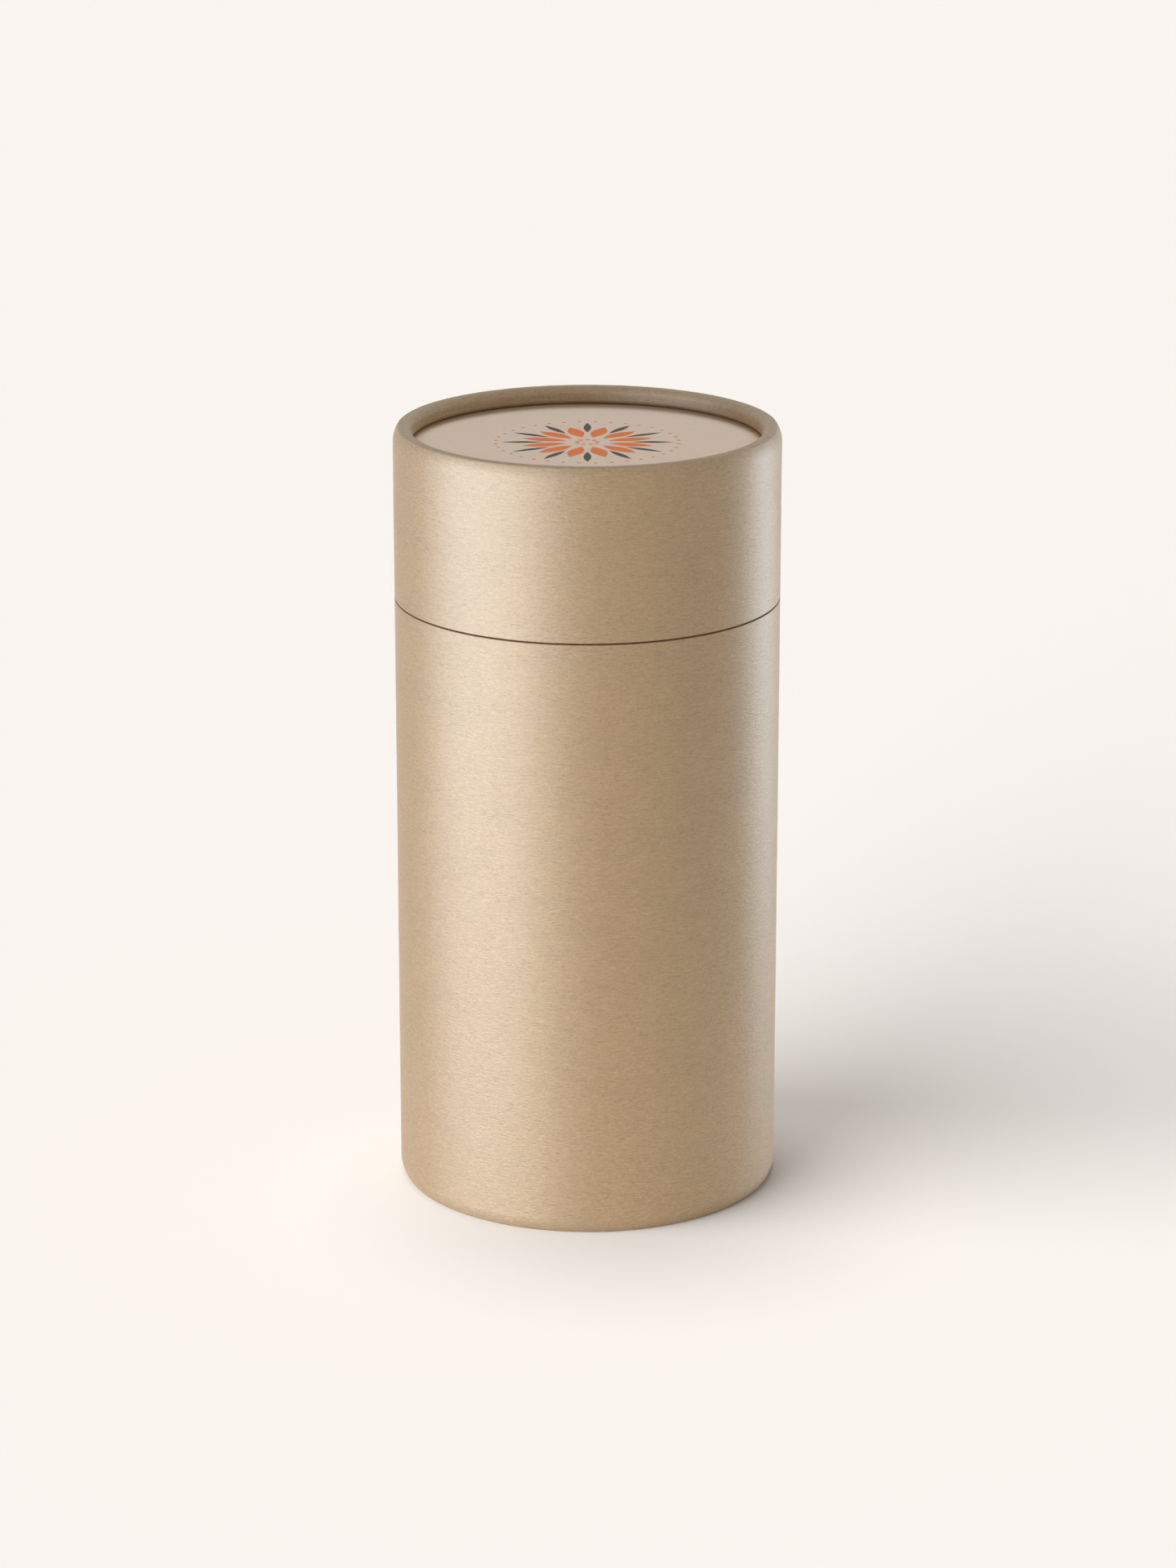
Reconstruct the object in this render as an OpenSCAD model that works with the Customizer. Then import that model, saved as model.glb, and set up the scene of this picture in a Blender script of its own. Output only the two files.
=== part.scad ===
// Cylindrical gift tube box: a wound paperboard tube with a flush lift-off lid.
// Both ends are rolled over a recessed end disc, and an inner neck carries and guides the lid.
// Millimetres, +Z up. The origin is the centre of the foot, on the surface that the tube stands on.

/* [Tube] */
// Outside diameter of the closed tube, over the cover paper
outer_d = 100; // [80:1:130]
// Height of the base, from the foot to its mouth
base_h = 158; // [100:1:220]
// Height of the lid, from its mouth to the crest of the rim
lid_h = 44.6; // [30:0.1:70]
// Seam that stays open between the base and the closed lid
seam_gap = 0.3; // [0.1:0.1:1]

/* [Board and paper] */
// Wound board of the base and the lid
board_t = 1.5; // [1:0.1:2]
// Cover paper outside, and the paper on the end discs
wrap_t = 0.2; // [0.1:0.05:0.4]
// Thin papers: the linings, and the facing of the neck
lining_t = 0.15; // [0.1:0.05:0.3]
// Bevel that cutting leaves on the cover paper at both mouths
edge_break = 0.1; // [0.05:0.01:0.1]
// Width of the lap where the cover paper is glued over itself
lap_w = 9; // [5:1:15]
// Where the lap stands, as an angle from +X towards +Y
lap_at = 112; // [100:1:120]

/* [Neck] */
// Wound board of the neck
neck_t = 1.2; // [0.8:0.1:1.8]
// Radial clearance between the neck and the lined walls
neck_clear = 0.25; // [0.15:0.05:0.5]
// Air left between the top of the neck and the closed lid's inner disc
neck_seat = 0.1; // [0.05:0.05:0.5]
// Height of the bevel round the top of the neck that leads the lid on
neck_lead = 0.6; // [0.3:0.1:1]

/* [Rolled rims] */
// Radius of the long outer curve that draws the wall in towards the crest
shoulder_r = 6.5; // [5.5:0.5:9]
// Height of that curve below the crest
shoulder_h = 3.9; // [3:0.1:4.2]
// Small radius where the outer curve turns into the flat of the crest
crest_r = 0.6; // [0.3:0.1:0.9]
// Gap that stays between the wall and the board folded back inside it
fold_gap = 1.6; // [1:0.1:2.4]
// Radius inside the fold
fold_r = 0.2; // [0.1:0.1:0.5]
// Outer radius where the folded edge turns under, onto the end disc
toe_r = 1.3; // [0.8:0.1:1.8]
// How far the turned edge reaches past the board folded back inside the wall
toe_reach = 0.6; // [0.3:0.1:0.8]
// Depth from the crest to the paper of the end disc
rim_depth = 4.5; // [3.8:0.1:7]

/* [Discs] */
// Board disc held behind each rim
disc_t = 1.2; // [0.8:0.1:2]
// Board disc that finishes the inside of the base and of the lid
inner_disc_t = 0.8; // [0.5:0.1:1.5]
// Radial clearance round every disc
disc_clear = 0.05; // [0.05:0.05:0.2]

/* [Hidden] */
$fn = 180;
arc_steps = 8;

kraft = [0.76, 0.62, 0.46];
kraft_inside = [0.68, 0.54, 0.39];
grey_board = [0.60, 0.54, 0.46];

// Radii of the wall's layers, from the outside in
outer_r = outer_d / 2;
wall_core_r = outer_r - wrap_t;
wall_bore_r = wall_core_r - board_t;
lined_r = wall_bore_r - lining_t;

// Radii of the neck's layers
neck_r = lined_r - neck_clear;
neck_core_r = neck_r - lining_t;
neck_bore_r = neck_core_r - neck_t;
cavity_r = neck_bore_r - lining_t;

// Heights
lid_z = base_h + seam_gap;
top_z = lid_z + lid_h;
end_stack = rim_depth + wrap_t + disc_t + inner_disc_t;
floor_z = end_stack;
ceiling_z = top_z - end_stack;
neck_top = ceiling_z - neck_seat;
neck_lead_w = neck_lead / 2;

disc_r = wall_bore_r - disc_clear;

// A rolled rim is drawn as [u, v]: u runs inwards from the outer surface of the wall,
// and v runs from the plane of the crest towards the middle of the tube.
roll_t = wrap_t + board_t;
rim_w = 2 * roll_t + fold_gap;
fold_outer_r = roll_t + fold_r;
fold_u = rim_w - fold_outer_r;
toe_u = rim_w - roll_t - toe_reach;
crest_u = shoulder_r - sqrt(pow(shoulder_r - crest_r, 2) - pow(shoulder_h - crest_r, 2));
lap_span = 360 * lap_w / (PI * outer_d);
lap_root = wrap_t / 2;

// Points on an arc about [cu, cv]: 0 degrees faces the outer surface and 90 degrees faces the crest.
function arc(cu, cv, r, from, to) = [
    for (i = [0:arc_steps])
        let (a = from + (to - from) * i / arc_steps)
        [cu - r * cos(a), cv - r * sin(a)]
];

// Where the shoulder ends at a depth inside the wall: at the crest's fillet, or at the flat under it
function shoulder_end(depth) =
    let (stop = max(depth, crest_r))
    asin((shoulder_h - stop) / (shoulder_r - stop));

function crest_fillet(depth) =
    depth < crest_r ? arc(crest_u, crest_r, crest_r - depth, shoulder_end(depth), 90) : [];

// Where a layer turns under at the end of the fold and lies on the disc. The round of a layer too deep for
// one is a corner, and it stays below the fold's own arc.
function toe(depth) =
    let (foot_v = max(rim_depth - depth, fold_outer_r))
    concat(
        depth < toe_r
            ? arc(rim_w - toe_r, rim_depth - toe_r, toe_r - depth, 180, 270)
            : [[rim_w - depth, foot_v]],
        [[toe_u, foot_v]]
    );

// The line that one surface of the wall follows over the crest, back down the fold and under it
function rolled_line(depth) = concat(
    arc(shoulder_r, shoulder_h, shoulder_r - depth, 0, shoulder_end(depth)),
    crest_fillet(depth),
    arc(fold_u, fold_outer_r, fold_outer_r - depth, 90, 180),
    toe(depth)
);

function reversed(points) = [for (i = [len(points) - 1:-1:0]) points[i]];

// One layer of the wall, from its mouth to the cut end of the fold
function rolled_layer(outside, inside, wall_h, bevel) = concat(
    [[outside + bevel, wall_h], [outside, wall_h - bevel]],
    rolled_line(outside),
    reversed(rolled_line(inside)),
    [[inside, wall_h]]
);

module rolled_wall(outside, inside, wall_h, bevel = 0) {
    rotate_extrude()
        polygon([for (p = rolled_layer(outside, inside, wall_h, bevel)) [outer_r - p.x, p.y]]);
}

// The glued lap stands one paper thick on the straight part of the wall
module lap(wall_h) {
    rotate([0, 0, lap_at - lap_span / 2])
        rotate_extrude(angle = lap_span)
            translate([outer_r - lap_root, shoulder_h])
                square([lap_root + wrap_t, wall_h - shoulder_h - edge_break]);
}

module cover(wall_h) {
    union() {
        rolled_wall(0, wrap_t, wall_h, edge_break);
        lap(wall_h);
    }
}

// Turns a form that is drawn standing on its crest into the lid's place
module as_lid() {
    translate([0, 0, top_z])
        mirror([0, 0, 1])
            children();
}

module ring(outer, inner, z0, z1) {
    rotate_extrude()
        translate([inner, z0])
            square([outer - inner, z1 - z0]);
}

module disc(r, z0, t) {
    translate([0, 0, z0])
        cylinder(h = t, r = r);
}

module base_tube() {
    color(grey_board) rolled_wall(wrap_t, roll_t, base_h);
}

module base_wrap() {
    color(kraft) cover(base_h);
}

module base_lining() {
    color(kraft_inside) ring(wall_bore_r, lined_r, floor_z, base_h);
}

module foot_facing() {
    color(kraft) disc(disc_r, rim_depth, wrap_t);
}

module foot_disc() {
    color(grey_board) disc(disc_r, rim_depth + wrap_t, disc_t);
}

module floor_disc() {
    color(kraft_inside) disc(disc_r, rim_depth + wrap_t + disc_t, inner_disc_t);
}

module neck_tube() {
    color(grey_board)
        rotate_extrude()
            polygon([
                [neck_bore_r, floor_z],
                [neck_core_r, floor_z],
                [neck_core_r, neck_top - neck_lead],
                [neck_core_r - neck_lead_w, neck_top],
                [neck_bore_r, neck_top]
            ]);
}

module neck_facing() {
    color(kraft_inside) ring(neck_r, neck_core_r, floor_z, neck_top - neck_lead);
}

module neck_lining() {
    color(kraft_inside) ring(neck_bore_r, cavity_r, floor_z, neck_top);
}

module lid_tube() {
    color(grey_board) as_lid() rolled_wall(wrap_t, roll_t, lid_h);
}

module lid_wrap() {
    color(kraft) as_lid() cover(lid_h);
}

module lid_lining() {
    color(kraft_inside) ring(wall_bore_r, lined_r, lid_z, ceiling_z);
}

module top_facing() {
    color(kraft) disc(disc_r, top_z - rim_depth - wrap_t, wrap_t);
}

module top_disc() {
    color(grey_board) disc(disc_r, ceiling_z + inner_disc_t, disc_t);
}

module lid_inner_disc() {
    color(kraft_inside) disc(disc_r, ceiling_z, inner_disc_t);
}

base_tube();
base_wrap();
base_lining();
foot_facing();
foot_disc();
floor_disc();
neck_tube();
neck_facing();
neck_lining();
lid_tube();
lid_wrap();
lid_lining();
top_facing();
top_disc();
lid_inner_disc();
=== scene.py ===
"""Looks of a cylindrical kraft gift tube: rolled ends, recessed discs, an inner neck and a lift-off lid.

Metres, +Z up, with the origin at the centre of the foot. Radii and heights come from the CAD nodes' boxes, and
the classes below add the gauges that a box doesn't tell.
"""

import logging
import math
from collections.abc import Callable, Sequence
from dataclasses import dataclass, field
from enum import Enum

import bmesh
import bpy
import numpy as np
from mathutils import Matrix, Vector


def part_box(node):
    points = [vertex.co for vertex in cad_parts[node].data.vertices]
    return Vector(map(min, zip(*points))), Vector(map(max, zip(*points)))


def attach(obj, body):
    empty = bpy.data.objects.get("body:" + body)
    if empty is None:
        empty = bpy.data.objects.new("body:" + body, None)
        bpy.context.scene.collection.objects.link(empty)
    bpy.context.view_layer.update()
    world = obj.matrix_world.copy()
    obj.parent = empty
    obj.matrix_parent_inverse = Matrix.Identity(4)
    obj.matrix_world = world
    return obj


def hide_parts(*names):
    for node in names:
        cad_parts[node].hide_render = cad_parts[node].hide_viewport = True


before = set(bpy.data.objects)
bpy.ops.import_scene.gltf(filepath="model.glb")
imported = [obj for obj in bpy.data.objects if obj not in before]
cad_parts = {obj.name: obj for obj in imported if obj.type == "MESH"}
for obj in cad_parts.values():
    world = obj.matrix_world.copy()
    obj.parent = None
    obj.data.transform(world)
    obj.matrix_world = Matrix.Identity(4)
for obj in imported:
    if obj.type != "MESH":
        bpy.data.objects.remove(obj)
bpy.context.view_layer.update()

MM = 0.001
TURN = 2 * math.pi
LOG = logging.getLogger("gift_tube")

Colour = tuple[float, float, float]
Relief = Callable[[np.ndarray, np.ndarray], np.ndarray]


class Body(Enum):
    """The two bodies that come apart."""

    BASE = "base"
    LID = "lid"


class Slot(Enum):
    """Material slots of the record."""

    KRAFT_COVER = "kraft_cover"
    PRINTED_FACING = "printed_facing"
    WOUND_BOARD = "wound_board"
    DISC_BOARD = "disc_board"
    INNER_DISC = "inner_disc"
    NECK_PAPER = "neck_paper"
    LINING_PAPER = "lining_paper"


class Shows(Enum):
    """Which face of a thin sleeve is open to view."""

    OUTSIDE = 1
    INSIDE = -1


def linear(srgb: Sequence[float]) -> tuple[float, float, float, float]:
    """Turns a display colour of 0 to 255 into the linear RGBA that shaders take.

    Args:
        srgb: Red, green and blue as a screen shows them.

    Returns:
        The same colour in linear light, with an alpha of 1.
    """
    share = np.asarray(srgb, float) / 255
    low = share / 12.92
    high = ((share + 0.055) / 1.055) ** 2.4
    return (*np.where(share <= 0.04045, low, high).tolist(), 1.0)


def arc(centre: tuple[float, float], radius: float, start: float, end: float, steps: int = 12) -> np.ndarray:
    """Points on an arc of a section.

    A point is centre - radius * (cos a, sin a), with the angle a running evenly from start to end. 0 degrees
    faces the wall's outer surface and 90 degrees faces the crest.

    Args:
        centre: (u, v) of the arc's centre.
        radius: Its radius.
        start: First angle in degrees.
        end: Last angle in degrees.
        steps: Number of chords.

    Returns:
        Array of steps + 1 points (u, v).
    """
    angles = np.radians(np.linspace(start, end, steps + 1))
    return np.column_stack([centre[0] - radius * np.cos(angles), centre[1] - radius * np.sin(angles)])


def smooth_step(low: float, high: float, value: np.ndarray) -> np.ndarray:
    """Rises from 0 at low to 1 at high along 3 t^2 - 2 t^3."""
    t = np.clip((value - low) / (high - low), 0, 1)
    return t * t * (3 - 2 * t)


def hand_wound(angle: np.ndarray, height: np.ndarray) -> np.ndarray:
    """Unevenness of a wound board wall: a sum of slow waves round and along it, never outwards.

    Args:
        angle: Angles about the axis, in radians.
        height: Heights along the axis, in metres.

    Returns:
        Radial offsets from -0.06 mm to 0, of the shape that angle and height broadcast to.
    """
    waves = (
        np.sin(2 * angle + 1.1 + height / 0.051)
        + 0.6 * np.sin(5 * angle - height / 0.023)
        + 0.4 * np.sin(9 * angle + 2.0 + height / 0.0083)
    )
    return -0.03 * MM * (1 - waves / 2)


def flat_calm(angle: np.ndarray, height: np.ndarray) -> np.ndarray:
    """No unevenness: zeros of the shape that angle and height broadcast to."""
    return np.zeros(np.broadcast(angle, height).shape)


def volume_of(points: np.ndarray, quads: np.ndarray) -> float:
    """Volume that the faces enclose: each quad counts as two triangles, and each triangle as a tetrahedron to 0."""
    a, b, c, d = (points[quads[:, k]] for k in range(4))
    first = np.einsum("ij,ij->i", a, np.cross(b, c))
    second = np.einsum("ij,ij->i", a, np.cross(c, d))
    return float((first + second).sum() / 6)


def finished_mesh(name: str, points: np.ndarray, quads: np.ndarray, uv: np.ndarray, crease: float) -> bpy.types.Object:
    """Makes an object of a grid's points and faces, with no doubles, smooth but for its creases.

    Points that coincide are merged, so closed seams, poles and rows that run together at an edge leave no gap
    and no empty face. Faces point away from the solid.

    Args:
        name: Name of the piece.
        points: (n, 3) places.
        quads: (m, 4) indices into points.
        uv: (m, 4, 2) paper coordinates in metres, for each corner of each face.
        crease: Angle in degrees past which an edge stays sharp.

    Returns:
        The linked object, at the origin.
    """
    if volume_of(points, quads) < 0:
        quads = quads[:, ::-1]
        uv = uv[:, ::-1]
    mesh = bpy.data.meshes.new(name)
    mesh.from_pydata(points.tolist(), [], quads.tolist())
    layer = mesh.uv_layers.new(name="paper")
    layer.data.foreach_set("uv", uv.astype(np.float32).ravel())
    merged = bmesh.new()
    merged.from_mesh(mesh)
    bmesh.ops.remove_doubles(merged, verts=merged.verts, dist=0.5e-6)
    bmesh.ops.dissolve_degenerate(merged, edges=merged.edges, dist=0.5e-6)
    merged.to_mesh(mesh)
    merged.free()
    mesh.shade_smooth()
    mesh.set_sharp_from_angle(angle=math.radians(crease))
    piece = bpy.data.objects.new(name, mesh)
    bpy.context.scene.collection.objects.link(piece)
    return piece


def grid_faces(rows: int, columns: int) -> np.ndarray:
    """Faces of a grid of points numbered row by row, each as its four corners in turn.

    Args:
        rows: Number of rows of points.
        columns: Number of points in a row.

    Returns:
        Array of ((rows - 1) * (columns - 1), 4) indices.
    """
    first = (np.arange(rows - 1)[:, None] * columns + np.arange(columns - 1)[None, :]).ravel()
    return np.column_stack([first, first + 1, first + columns + 1, first + columns])


def turned(
    name: str,
    radius: np.ndarray,
    height: np.ndarray,
    angles: np.ndarray,
    paper_r: float,
    crease: float = 30.0,
    paper_start: float = 0.0,
) -> bpy.types.Object:
    """A surface carried once round the axis: point (i, j) is (r cos a, r sin a, z), with the angle a of row i.

    Radius and height may differ from row to row. The section runs along j, and is a closed loop or starts and
    ends on the axis. The paper's coordinates are the arc at paper_r and the length along the section.

    Args:
        name: Name of the piece.
        radius: (rows, points) or (1, points) distances from the axis.
        height: (rows, points) or (1, points) heights.
        angles: One angle for each row, in radians, the last a full turn after the first.
        paper_r: Radius at which the paper's coordinate round the axis is measured.
        crease: Angle in degrees past which an edge stays sharp.
        paper_start: The paper's coordinate along the section at its first point.

    Returns:
        The linked object.
    """
    shape = (len(angles), radius.shape[1])
    radius, height = np.broadcast_to(radius, shape), np.broadcast_to(height, shape)
    points = np.stack([radius * np.cos(angles)[:, None], radius * np.sin(angles)[:, None], height], axis=2)
    steps = np.hypot(np.diff(radius[0]), np.diff(height[0]))
    along = paper_start + np.concatenate([[0.0], np.cumsum(steps)])
    paper = np.stack(np.broadcast_arrays(angles[:, None] * paper_r, along[None, :]), axis=2)
    faces = grid_faces(*shape)
    return finished_mesh(name, points.reshape(-1, 3), faces, paper.reshape(-1, 2)[faces], crease)


def turn_angles(count: int) -> np.ndarray:
    """Evenly spaced angles of a full turn, with both ends."""
    return np.linspace(0, TURN, count + 1)


def bearing(azimuth: float, elevation: float) -> Vector:
    """Unit vector towards an azimuth, 0 at the camera's side and positive to the right, and an elevation.

    Args:
        azimuth: Degrees.
        elevation: Degrees.

    Returns:
        The direction.
    """
    turn, rise = math.radians(azimuth), math.radians(elevation)
    return Vector((math.sin(turn) * math.cos(rise), -math.cos(turn) * math.cos(rise), math.sin(rise)))


@dataclass(frozen=True)
class RolledEnd:
    """Section of an end where the wall's layers roll inwards over a crest and fold back down inside the wall.

    A point is (u, v): u runs inwards from the wall's outer surface, and v from the plane of the crest towards
    the middle of the tube. The line of a layer's face at a depth below the outer surface is a shoulder arc of
    radius shoulder_r - depth, a crest fillet of radius crest_r - depth where there is one, a flat, a fold arc, a
    straight leg, and a toe that turns under through an arc of radius toe_r - depth and lies on the disc.
    """

    paper_t: float
    board_t: float
    depth: float
    shoulder_r: float = 6.5 * MM
    shoulder_h: float = 3.9 * MM
    crest_r: float = 0.6 * MM
    fold_gap: float = 1.6 * MM
    fold_r: float = 0.2 * MM
    toe_r: float = 1.3 * MM
    toe_reach: float = 0.6 * MM

    @property
    def layers_t(self) -> float:
        """Thickness of the cover paper and the board together."""
        return self.paper_t + self.board_t

    @property
    def width(self) -> float:
        """Width of the whole roll, from the outer surface to the inner face of the fold."""
        return 2 * self.layers_t + self.fold_gap

    def shoulder_end(self, depth: float) -> float:
        """Angle in degrees at which the shoulder arc of a face meets the crest's fillet or its flat."""
        stop = max(depth, self.crest_r)
        return math.degrees(math.asin((self.shoulder_h - stop) / (self.shoulder_r - stop)))

    def face(self, depth: float) -> np.ndarray:
        """The line of one face over the whole roll.

        Args:
            depth: How far the face lies below the wall's outer surface.

        Returns:
            (n, 2) points (u, v), from the wall, over the crest, to the cut end of the fold.
        """
        shoulder = arc((self.shoulder_r, self.shoulder_h), self.shoulder_r - depth, 0, self.shoulder_end(depth), 16)
        fold_outer = self.layers_t + self.fold_r
        fold = arc((self.width - fold_outer, fold_outer), fold_outer - depth, 90, 180, 18)
        parts = [shoulder]
        if depth < self.crest_r:
            reach = self.shoulder_r - self.crest_r
            drop = self.shoulder_h - self.crest_r
            centre = (self.shoulder_r - math.sqrt(reach**2 - drop**2), self.crest_r)
            parts.append(arc(centre, self.crest_r - depth, self.shoulder_end(depth), 90, 6)[1:])
        parts.append(fold)
        parts.append(self.toe(depth))
        return np.concatenate(parts)

    def toe(self, depth: float) -> np.ndarray:
        """The end of a face, where it turns under onto the disc: round, or a corner on a layer too deep for one.

        Args:
            depth: How far the face lies below the wall's outer surface.

        Returns:
            (n, 2) points (u, v), up to the cut end.
        """
        foot_v = max(self.depth - depth, self.layers_t + self.fold_r)
        turn = np.array([[self.width - depth, foot_v]])
        if depth < self.toe_r:
            turn = arc((self.width - self.toe_r, self.depth - self.toe_r), self.toe_r - depth, 180, 270)
        return np.concatenate([turn, [[self.width - self.layers_t - self.toe_reach, foot_v]]])


@dataclass(frozen=True)
class Lap:
    """Where the cover paper is glued over itself, as a strip that runs up the wall.

    On one side the upper sheet ends in a cut edge, and on the other it comes down over the lower sheet's edge
    in a soft step.
    """

    centre_deg: float = 112.0
    width: float = 9 * MM
    rise: float = 0.2 * MM
    cut_ramp: float = 0.06 * MM
    soft_ramp: float = 1.0 * MM

    def angles(self, wall_r: float, count: int) -> np.ndarray:
        """Angles of a full turn, close together where the paper steps.

        Args:
            wall_r: Radius of the wall.
            count: Number of evenly spaced angles among them.

        Returns:
            Sorted angles in radians from the cut edge once round to it.
        """
        start = math.radians(self.centre_deg) - self.width / wall_r / 2
        near = np.concatenate([
            np.array([0.0, 0.5, 1.0, 1.6]) * self.cut_ramp,
            self.width - np.linspace(0, self.soft_ramp, 7),
        ])
        even = np.linspace(0, TURN, count + 1)
        return start + np.unique(np.round(np.concatenate([even, near / wall_r]), 9))

    def lift(self, angles: np.ndarray, wall_r: float) -> np.ndarray:
        """How far the outer face stands off the wall at each angle, from 0 to the paper's thickness."""
        across = (angles - angles[0]) * wall_r
        rising = smooth_step(0, self.cut_ramp, across)
        falling = 1 - smooth_step(self.width - self.soft_ramp, self.width, across)
        return self.rise * rising * falling


@dataclass(frozen=True)
class ButtSeam:
    """Spiral joint of a wound paper strip, whose two edges meet in a fine groove.

    The seam climbs one pitch for each turn. The groove's depth falls off with the distance d from the seam as
    exp(-(d / half_w)^2).
    """

    pitch: float = 106 * MM
    start: float = 0.0
    groove: float = 0.09 * MM
    half_w: float = 0.16 * MM
    row_gap: float = 5.3 * MM

    def rows(self, low: float, high: float) -> np.ndarray:
        """Heights at angle 0 of the rows that follow the seam, enough to cover a sleeve at every angle.

        Args:
            low: Height of the sleeve's lower edge.
            high: Height of its upper edge.

        Returns:
            Sorted heights, close together at each seam.
        """
        seams = self.start + self.pitch * np.arange(
            math.floor((low - self.start) / self.pitch) - 2, math.ceil((high - self.start) / self.pitch) + 2
        )
        beside = self.half_w * np.array([-2.2, -1.3, -0.7, -0.3, 0.0, 0.3, 0.7, 1.3, 2.2])
        between = np.arange(self.row_gap, self.pitch - self.row_gap / 2, self.row_gap)
        return np.unique(np.round((seams[:, None] + np.concatenate([beside, between])[None, :]).ravel(), 9))

    def depth(self, rows: np.ndarray) -> np.ndarray:
        """Depth of the groove on each row."""
        away = (rows - self.start + self.pitch / 2) % self.pitch - self.pitch / 2
        return self.groove * np.exp(-((away / self.half_w) ** 2))


def wound_sleeve(name: str, outer: float, inner: float, low: float, high: float, seam: ButtSeam, shows: Shows) -> bpy.types.Object:
    """A thin sleeve wound from one strip, with its butt seam in the face that shows.

    On the face that shows, row n climbs with the angle a as z = z_n + pitch * a / turn, held between the two
    edges, so the rows follow the seam and run together at the edges. The other face is a plain cylinder.

    Args:
        name: Name of the piece.
        outer: Outer radius.
        inner: Inner radius.
        low: Height of the lower edge.
        high: Height of the upper edge.
        seam: The spiral joint.
        shows: Which face has the seam.

    Returns:
        The linked object.
    """
    angles = turn_angles(180)
    rows = seam.rows(low, high)
    height = np.clip(rows[None, :] + seam.pitch * (angles[:, None] / TURN), low, high)
    sunk = shows.value * seam.depth(rows)[None, :] * np.ones_like(height)
    shown, hidden = (outer, inner) if shows is Shows.OUTSIDE else (inner, outer)
    edge = np.full((len(angles), 1), hidden)
    radius = np.hstack([shown - sunk, edge, edge, shown - sunk[:, :1]])
    height = np.hstack([height, np.full_like(edge, high), np.full_like(edge, low), height[:, :1]])
    return turned(name, radius, height, angles, outer, crease=50.0)


def round_disc(name: str, radius: float, low: float, high: float, edge: float, relief: Relief) -> bpy.types.Object:
    """A disc of board or paper with softly broken edges, whose upper face follows a relief.

    Its section runs from the axis out along the lower face, up the rim by way of two small arcs, and back in
    along the upper face.

    Args:
        name: Name of the piece.
        radius: Radius of the disc.
        low: Height of the lower face.
        high: Height of the upper face.
        edge: Radius of the broken edges.
        relief: Offset of the upper face at an angle and a radius, never upwards.

    Returns:
        The linked object.
    """
    angles = turn_angles(180)
    across = radius - edge - np.array([0.0])
    rings = np.concatenate([[0.0], np.linspace(0.04, 1, 26) * across])
    lower_round = np.radians(np.linspace(-90, 0, 5)[1:])
    upper_round = np.radians(np.linspace(0, 90, 5)[:-1])
    section_r = np.concatenate([
        rings, across + edge * np.cos(lower_round), across + edge * np.cos(upper_round), rings[::-1],
    ])
    section_z = np.concatenate([
        np.full_like(rings, low),
        low + edge + edge * np.sin(lower_round),
        high - edge + edge * np.sin(upper_round),
        np.full_like(rings, high),
    ])
    upper = smooth_step((low + high) / 2, high, section_z)
    height = section_z[None, :] + upper[None, :] * relief(angles[:, None], section_r[None, :])
    return turned(name, section_r[None, :], height, angles, radius, paper_start=radius)


def glued_down(angle: np.ndarray, radius: np.ndarray) -> np.ndarray:
    """Lie of a glued end paper: it sinks up to 0.05 mm in slow waves, by sin of two directions across the disc."""
    x, y = radius * np.cos(angle), radius * np.sin(angle)
    waves = np.sin(x / 0.0121 + 0.8) * np.sin(y / 0.0147 + 0.3) + 0.5 * np.sin((x + 0.6 * y) / 0.0063)
    return -0.02 * MM * (1.5 - waves)


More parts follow.
